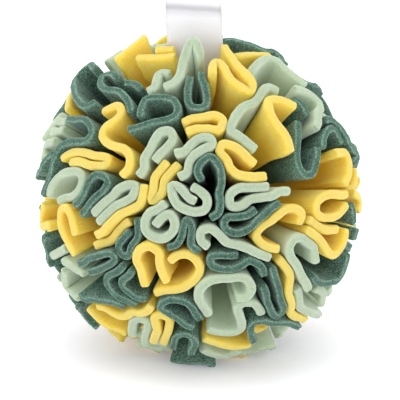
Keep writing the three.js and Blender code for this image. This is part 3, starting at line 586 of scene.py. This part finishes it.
def addTabs(node, name, cloth, tabs, seed):
    places, faces, cuts, start = [], [], [], 0
    for k, tab in enumerate(tabs):
        grid, cut, length = tabGrid(tab, cloths[cloth], seed * 17 + k)
        columns, rows = grid.shape[:2]
        grid = loosened(grid)
        places.append(grid.reshape(-1, 3))
        cuts.append(np.tile(cut, columns))
        faces += [tuple(v + start for v in face) for face in tabFaces(columns, rows)]
        start += columns * rows
    points = np.vstack(places)
    # painted shade: how far below the rim each point lies, which mixes in the deep colour between the tabs
    depth = ball["rim"] - fleece["shadeFrom"] - np.linalg.norm(points, axis=1)
    points[:, 2] = np.maximum(points[:, 2] + ball["centre"], fleece["lift"])
    mesh = bpy.data.meshes.new(name + "_fleece")
    mesh.from_pydata((points / 1000).tolist(), [], faces)
    mesh.attributes.new("cut", "FLOAT", "POINT").data.foreach_set("value", np.concatenate(cuts))
    paintedShadeMask = np.clip(depth / fleece["shade"], 0, 1)
    mesh.attributes.new("paintedShadeMask", "FLOAT", "POINT").data.foreach_set("value", paintedShadeMask)
    mesh.polygons.foreach_set("use_smooth", np.ones(len(mesh.polygons), bool))
    mesh.materials.append(materials[cloth])
    piece = bpy.data.objects.new(name + "_tabs", mesh)
    bpy.context.scene.collection.objects.link(piece)
    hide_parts(node)
    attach(piece, "root")


def addBunches(bunches):
    # a bunch is one piece for each cloth among its tabs
    for seed, (name, own) in enumerate(bunches.items()):
        shares = {cloth: [tab for tab in own if clothOf(tab) == cloth] for cloth in cloths}
        shares = {cloth: share for cloth, share in shares.items() if share}
        for cloth, share in shares.items():
            addTabs(name, name if len(shares) == 1 else f"{name}_{cloth}", cloth, share, seed + 1)


def linear(hexColour):
    channels = [int(hexColour[k:k + 2], 16) / 255 for k in (1, 3, 5)]
    return tuple(c / 12.92 if c <= 0.04045 else ((c + 0.055) / 1.055) ** 2.4 for c in channels) + (1.0,)


def addNode(tree, kind, settings=(), values=(), links=()):
    node = tree.nodes.new(kind)
    for key, value in dict(settings).items():
        setattr(node, key, value)
    for key, value in dict(values).items():
        node.inputs[key].default_value = value
    for key, source in dict(links).items():
        tree.links.new(source, node.inputs[key])
    return node


def newMaterial(name):
    material = bpy.data.materials.new(name)
    material.use_nodes = True
    material.node_tree.nodes.clear()
    return material, material.node_tree


# Polar fleece: knitted polyester, brushed on both sides into a matte pile. Its colour is softer
# where the pile's ends show at a cut; deep between the tabs the deep colour is painted shade, fuller
# and darker where shade falls. Fleck is the share of fine flecks in its unevenness, and broken how far they
# break a cut's lines.
fleeceColours = {
    "yellow": {"low": "#E6C034", "pile": "#EBD157", "tips": "#E3CF78", "ends": "#CEBB6E", "knit": "#D8BA44",
               "deep": "#EAB616", "fleck": 0.55, "broken": 0.5, "sheen": 0.08, "glow": (1.0, 0.72, 0.32)},
    "sage": {"low": "#AEBEA3", "pile": "#BFCDB4", "tips": "#B4C2AA", "ends": "#9CAA93", "knit": "#A0AF95",
             "deep": "#A7BA96", "fleck": 0.5, "broken": 0.5, "sheen": 0.14, "glow": (0.8, 1.0, 0.7)},
    "teal": {"low": "#2E4C40", "pile": "#567365", "tips": "#7F9989", "ends": "#7C9485", "knit": "#2D483E",
             "deep": "#1B3E2F", "fleck": 0.6, "broken": 0.7, "sheen": 0.08, "glow": (0.5, 0.8, 0.6)},
}
pile = {
    "fibre": 0.65, "patch": 6.0, "hair": 0.4, "bump": 0.55, "through": 6.0,  # sizes in millimetres
    "fleckFrom": 0.36, "fleckTo": 0.64,  # the part of the fibre noise that makes the flecks
    "lowAt": 0.15, "tipsAt": 0.85,  # where the ramp from low over pile to tips starts and ends
    "mostPaintedShade": 0.8,  # most share of the deep colour, the painted shade between the tabs
    "hairShare": 0.4,  # of the bumps
}


def fleeceMaterial(name, colours):
    # a Mix node's sockets: 0 the share, 2 and 3 its two values, 6 and 7 its two colours
    material, tree = newMaterial(name + "PolarFleece")
    place = addNode(tree, "ShaderNodeTexCoord").outputs["Object"]
    noises = {}
    for key, detail in (("fibre", 3.0), ("patch", 2.0), ("hair", 2.0)):
        noise = addNode(tree, "ShaderNodeTexNoise", values={"Scale": 1000 / pile[key], "Detail": detail},
                        links={"Vector": place})
        noises[key] = noise.outputs["Fac"]
    fleck = addNode(tree, "ShaderNodeMapRange",
                    values={"From Min": pile["fleckFrom"], "From Max": pile["fleckTo"]},
                    links={"Value": noises["fibre"]}).outputs["Result"]
    both = addNode(tree, "ShaderNodeMix", values={0: colours["fleck"]}, links={2: noises["patch"], 3: fleck})
    shade = addNode(tree, "ShaderNodeValToRGB", links={"Fac": both.outputs[0]})
    ramp = shade.color_ramp
    ramp.elements[0].position, ramp.elements[0].color = pile["lowAt"], linear(colours["low"])
    ramp.elements[1].position, ramp.elements[1].color = pile["tipsAt"], linear(colours["tips"])
    ramp.elements.new(0.5).color = linear(colours["pile"])
    cut = addNode(tree, "ShaderNodeAttribute", {"attribute_name": "cut"}).outputs["Fac"]
    # painted shade: the deep colour mixed in with the depth below the rim
    paintedShadeMask = addNode(tree, "ShaderNodeAttribute", {"attribute_name": "paintedShadeMask"}).outputs["Fac"]
    inner = addNode(tree, "ShaderNodeMapRange", values={"To Max": pile["mostPaintedShade"]}, links={"Value": paintedShadeMask})
    colour = addNode(tree, "ShaderNodeMix", {"data_type": "RGBA"}, {7: linear(colours["deep"])},
                     {0: inner.outputs["Result"], 6: shade.outputs["Color"]}).outputs[2]
    for tone, most in (("ends", 1.0), ("knit", -1.0)):
        amount = addNode(tree, "ShaderNodeMapRange", values={"From Max": most},
                         links={"Value": cut}).outputs["Result"]
        broken = addNode(tree, "ShaderNodeMath", {"operation": "MULTIPLY"},
                         links={0: amount, 1: fleck}).outputs[0]
        some = addNode(tree, "ShaderNodeMix", values={0: colours["broken"]},
                       links={2: amount, 3: broken}).outputs[0]
        colour = addNode(tree, "ShaderNodeMix", {"data_type": "RGBA"}, {7: linear(colours[tone])},
                         {0: some, 6: colour}).outputs[2]
    height = addNode(tree, "ShaderNodeMix", values={0: pile["hairShare"]},
                     links={2: noises["fibre"], 3: noises["hair"]})
    bump = addNode(tree, "ShaderNodeBump", values={"Strength": 1.0, "Distance": pile["bump"] / 1000},
                   links={"Height": height.outputs[0]})
    shader = addNode(tree, "ShaderNodeBsdfPrincipled",
                     values={"Roughness": 0.95, "Specular IOR Level": 0.1, "Sheen Weight": colours["sheen"],
                             "Sheen Roughness": 0.5, "Subsurface Weight": 0.6,
                             "Subsurface Radius": colours["glow"],
                             "Subsurface Scale": pile["through"] / 1000},
                     links={"Base Color": colour, "Normal": bump.outputs["Normal"]})
    addNode(tree, "ShaderNodeOutputMaterial", links={"Surface": shader.outputs["BSDF"]})
    return material


# Satin ribbon: floats of bright polyester yarn that give a smooth cloth a soft gloss, with a greyer
# band of painted shade where it bends
satin = {
    # bend is the colour of the painted shade where the ribbon bends
    "face": "#DEDEE1", "bend": "#AEAEB1",
    "threads": (40.0, 40.0, 700.0),  # bands in a metre each way, coarser than its yarn so that they show
    "bump": 0.2,  # in millimetres
}


def satinMaterial():
    material, tree = newMaterial("whiteSatinRibbon")
    place = addNode(tree, "ShaderNodeTexCoord").outputs["Object"]
    threads = addNode(tree, "ShaderNodeMapping", values={"Scale": satin["threads"]},
                      links={"Vector": place})
    weave = addNode(tree, "ShaderNodeTexNoise", values={"Scale": 1.0, "Detail": 1.0},
                    links={"Vector": threads.outputs["Vector"]})
    # painted shade: a greyer band mixed in where the ribbon bends
    bend = addNode(tree, "ShaderNodeAttribute", {"attribute_name": "bend"}).outputs["Fac"]
    colour = addNode(tree, "ShaderNodeMix", {"data_type": "RGBA"},
                     {6: linear(satin["face"]), 7: linear(satin["bend"])}, {0: bend})
    bump = addNode(tree, "ShaderNodeBump", values={"Strength": 0.1, "Distance": satin["bump"] / 1000},
                   links={"Height": weave.outputs["Fac"]})
    shader = addNode(tree, "ShaderNodeBsdfPrincipled",
                     values={"Roughness": 0.4, "Specular IOR Level": 0.5, "Sheen Weight": 0.1,
                             "Sheen Roughness": 0.4},
                     links={"Base Color": colour.outputs[2], "Normal": bump.outputs["Normal"]})
    addNode(tree, "ShaderNodeOutputMaterial", links={"Surface": shader.outputs["BSDF"]})
    return material


def ribbonGrid():
    # a band that rises out of the tabs, bends over and goes back down behind itself
    place = seenAt(ribbon["x"], ribbon["z"], ball["rim"])
    across = unit(np.cross(place, rightward))
    along = unit(np.cross(across, place))
    belly, half = ribbon["belly"] / 2, ribbon["gap"] / 2
    bend = ribbon["top"] - ribbon["thick"] / 2 - belly
    foot = half * ribbon["foot"] / ball["rim"]
    deep, close = ribbon["shoulder"]
    neck = ribbon["neck"]
    radii = [ribbon["foot"], ball["rim"] - deep, ball["rim"] + neck, bend - neck]
    apart = [foot, half * close, half, belly]
    rise = np.linspace(0, 1, ribbon["legPoints"]) * (radii[-1] - radii[0]) + radii[0]
    leg = np.stack([rise, np.interp(rise, radii, apart)], 1)
    turn = np.linspace(0, math.pi, ribbon["bendPoints"])
    arc = np.stack([bend + belly * np.sin(turn), belly * np.cos(turn)], 1)
    path = np.vstack([leg, arc, leg[::-1] * [1, -1]])
    # painted shade: a greyer band round the bend of the loop
    paintedBendShade = np.exp(-((np.sin(turn) - ribbon["paintedBendShade"]) / ribbon["paintedBendShadeWide"]) ** 2)
    paintedBendShade = np.concatenate([np.zeros(len(leg)), paintedBendShade, np.zeros(len(leg))])
    outward = np.gradient(path, axis=0)
    outward = unit(np.stack([-outward[:, 1], outward[:, 0]], 1)) * (ribbon["thick"] / 2)
    sides = np.linspace(-1, 1, ribbon["widthPoints"])
    lift = ribbon["slant"] * np.clip((path[:, 0] - ball["rim"]) / ribbon["slantOver"], 0, 1)
    rows = []
    for face in (1, -1):
        r, y = (path - outward * face).T
        wide = ribbon["width"] / 2 * np.minimum(1, path[:, 0] / ball["rim"])
        sweep = sides if face == 1 else sides[::-1]
        r = r[:, None] - lift[:, None] * sweep[None]
        grid = (place * r[..., None] + across * y[:, None, None]
                + along * (wide[:, None, None] * sweep[None, :, None]))
        rows.append(grid)
    return np.concatenate(rows, axis=1), paintedBendShade


def addRibbon():
    grid, paintedBendShade = ribbonGrid()
    columns, rows = grid.shape[:2]
    i, j = np.meshgrid(np.arange(columns - 1), np.arange(rows), indexing="ij")
    above = (j + 1) % rows
    skin = np.stack([i * rows + j, i * rows + above, (i + 1) * rows + above, (i + 1) * rows + j], -1)
    half = rows // 2
    k = np.arange(half - 1)
    cap = np.stack([k, rows - 1 - k, rows - 2 - k, k + 1], -1)
    faces = skin.reshape(-1, 4).tolist() + cap.tolist() + (cap[:, ::-1] + (columns - 1) * rows).tolist()
    flat = grid.reshape(-1, 3)
    points = flat + softShift(flat, ribbon["creaseSpacing"], 71) * ribbon["crease"]
    points[:, 2] += ball["centre"]
    mesh = bpy.data.meshes.new("ribbon_satin")
    mesh.from_pydata((points / 1000).tolist(), [], faces)
    mesh.polygons.foreach_set("use_smooth", np.ones(len(mesh.polygons), bool))
    mesh.attributes.new("bend", "FLOAT", "POINT").data.foreach_set("value", np.repeat(paintedBendShade, rows))
    mesh.materials.append(materials["ribbon"])
    piece = bpy.data.objects.new("ribbon_band", mesh)
    bpy.context.scene.collection.objects.link(piece)
    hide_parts("ribbon_loop")
    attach(piece, "root")


# The studio: a long lens from the front, a little above level, a white sky, a pale floor that
# glows a little, and soft lights with their places and sizes in metres and their watts
studio = {
    "sensor": 36.0, "pixels": 400,
    "sky": ("#FFFFFF", 1.22),
    "floor": ("#F5F5FA", 0.22),
    "lights": [
        ("key", (-0.6, -0.9, 0.6), 0.9, 2.1),
        ("fill", (0.9, -0.7, 0.4), 0.9, 1.4),
        ("top", (-0.1, -0.05, 1.2), 1.1, 3.0),
    ],
}


def addCamera():
    across = studio["pixels"] * view["mmPerPixel"]
    lens = studio["sensor"] * view["eye"] / across
    half = studio["pixels"] / 2
    right, down = view["ballPixel"][0] - half, view["ballPixel"][1] - half
    centre = np.array([0, 0, ball["centre"]])
    aim = centre - rightward * (right * view["mmPerPixel"]) + upward * (down * view["mmPerPixel"])
    spot = aim + toward * view["eye"]
    bpy.ops.object.camera_add(location=spot / 1000, rotation=(math.pi / 2 - tilt, 0, 0))
    camera = bpy.context.object
    camera.data.lens, camera.data.sensor_width = lens, studio["sensor"]
    camera.data.clip_start, camera.data.clip_end = 0.05, 50
    bpy.context.scene.camera = camera


def addStudio():
    scene = bpy.context.scene
    scene.view_settings.view_transform = "Standard"
    world = bpy.data.worlds.new("paleStudio")
    world.use_nodes = True
    scene.world = world
    colour, strength = studio["sky"]
    sky = world.node_tree.nodes["Background"]
    sky.inputs["Color"].default_value, sky.inputs["Strength"].default_value = linear(colour), strength
    for name, spot, size, watts in studio["lights"]:
        bpy.ops.object.light_add(type="AREA", location=spot)
        light = bpy.context.object
        light.name = name + "Softbox"
        light.data.size, light.data.energy = size, watts
        away = np.array(spot) - [0, 0, ball["centre"] / 1000]
        flat = math.hypot(away[0], away[1])
        light.rotation_euler = (math.atan2(flat, away[2]), 0, math.atan2(away[0], -away[1]) if flat else 0)
    bpy.ops.mesh.primitive_plane_add(size=30, location=(0, 0, 0))
    floor = bpy.context.object
    floor.name = "paleFloor"
    material, tree = newMaterial("paleStudioFloor")
    colour, strength = studio["floor"]
    shader = addNode(tree, "ShaderNodeBsdfPrincipled",
                     values={"Base Color": linear(colour), "Roughness": 0.9, "Specular IOR Level": 0.1,
                             "Emission Color": linear(colour), "Emission Strength": strength})
    addNode(tree, "ShaderNodeOutputMaterial", links={"Surface": shader.outputs["BSDF"]})
    floor.data.materials.append(material)


addCamera()
addStudio()
print("camera, lights and floor ready")
materials = {name: fleeceMaterial(name, colours) for name, colours in fleeceColours.items()}
materials["ribbon"] = satinMaterial()
print("materials ready")
tabs = layOut()
bunches = shareOut(tabs)
colourOutline(tabs)
print("tabs laid out:", sum(map(len, bunches.values())), "in", len(bunches), "bunches")
addBunches(bunches)
addRibbon()
print("tabs and ribbon modelled")
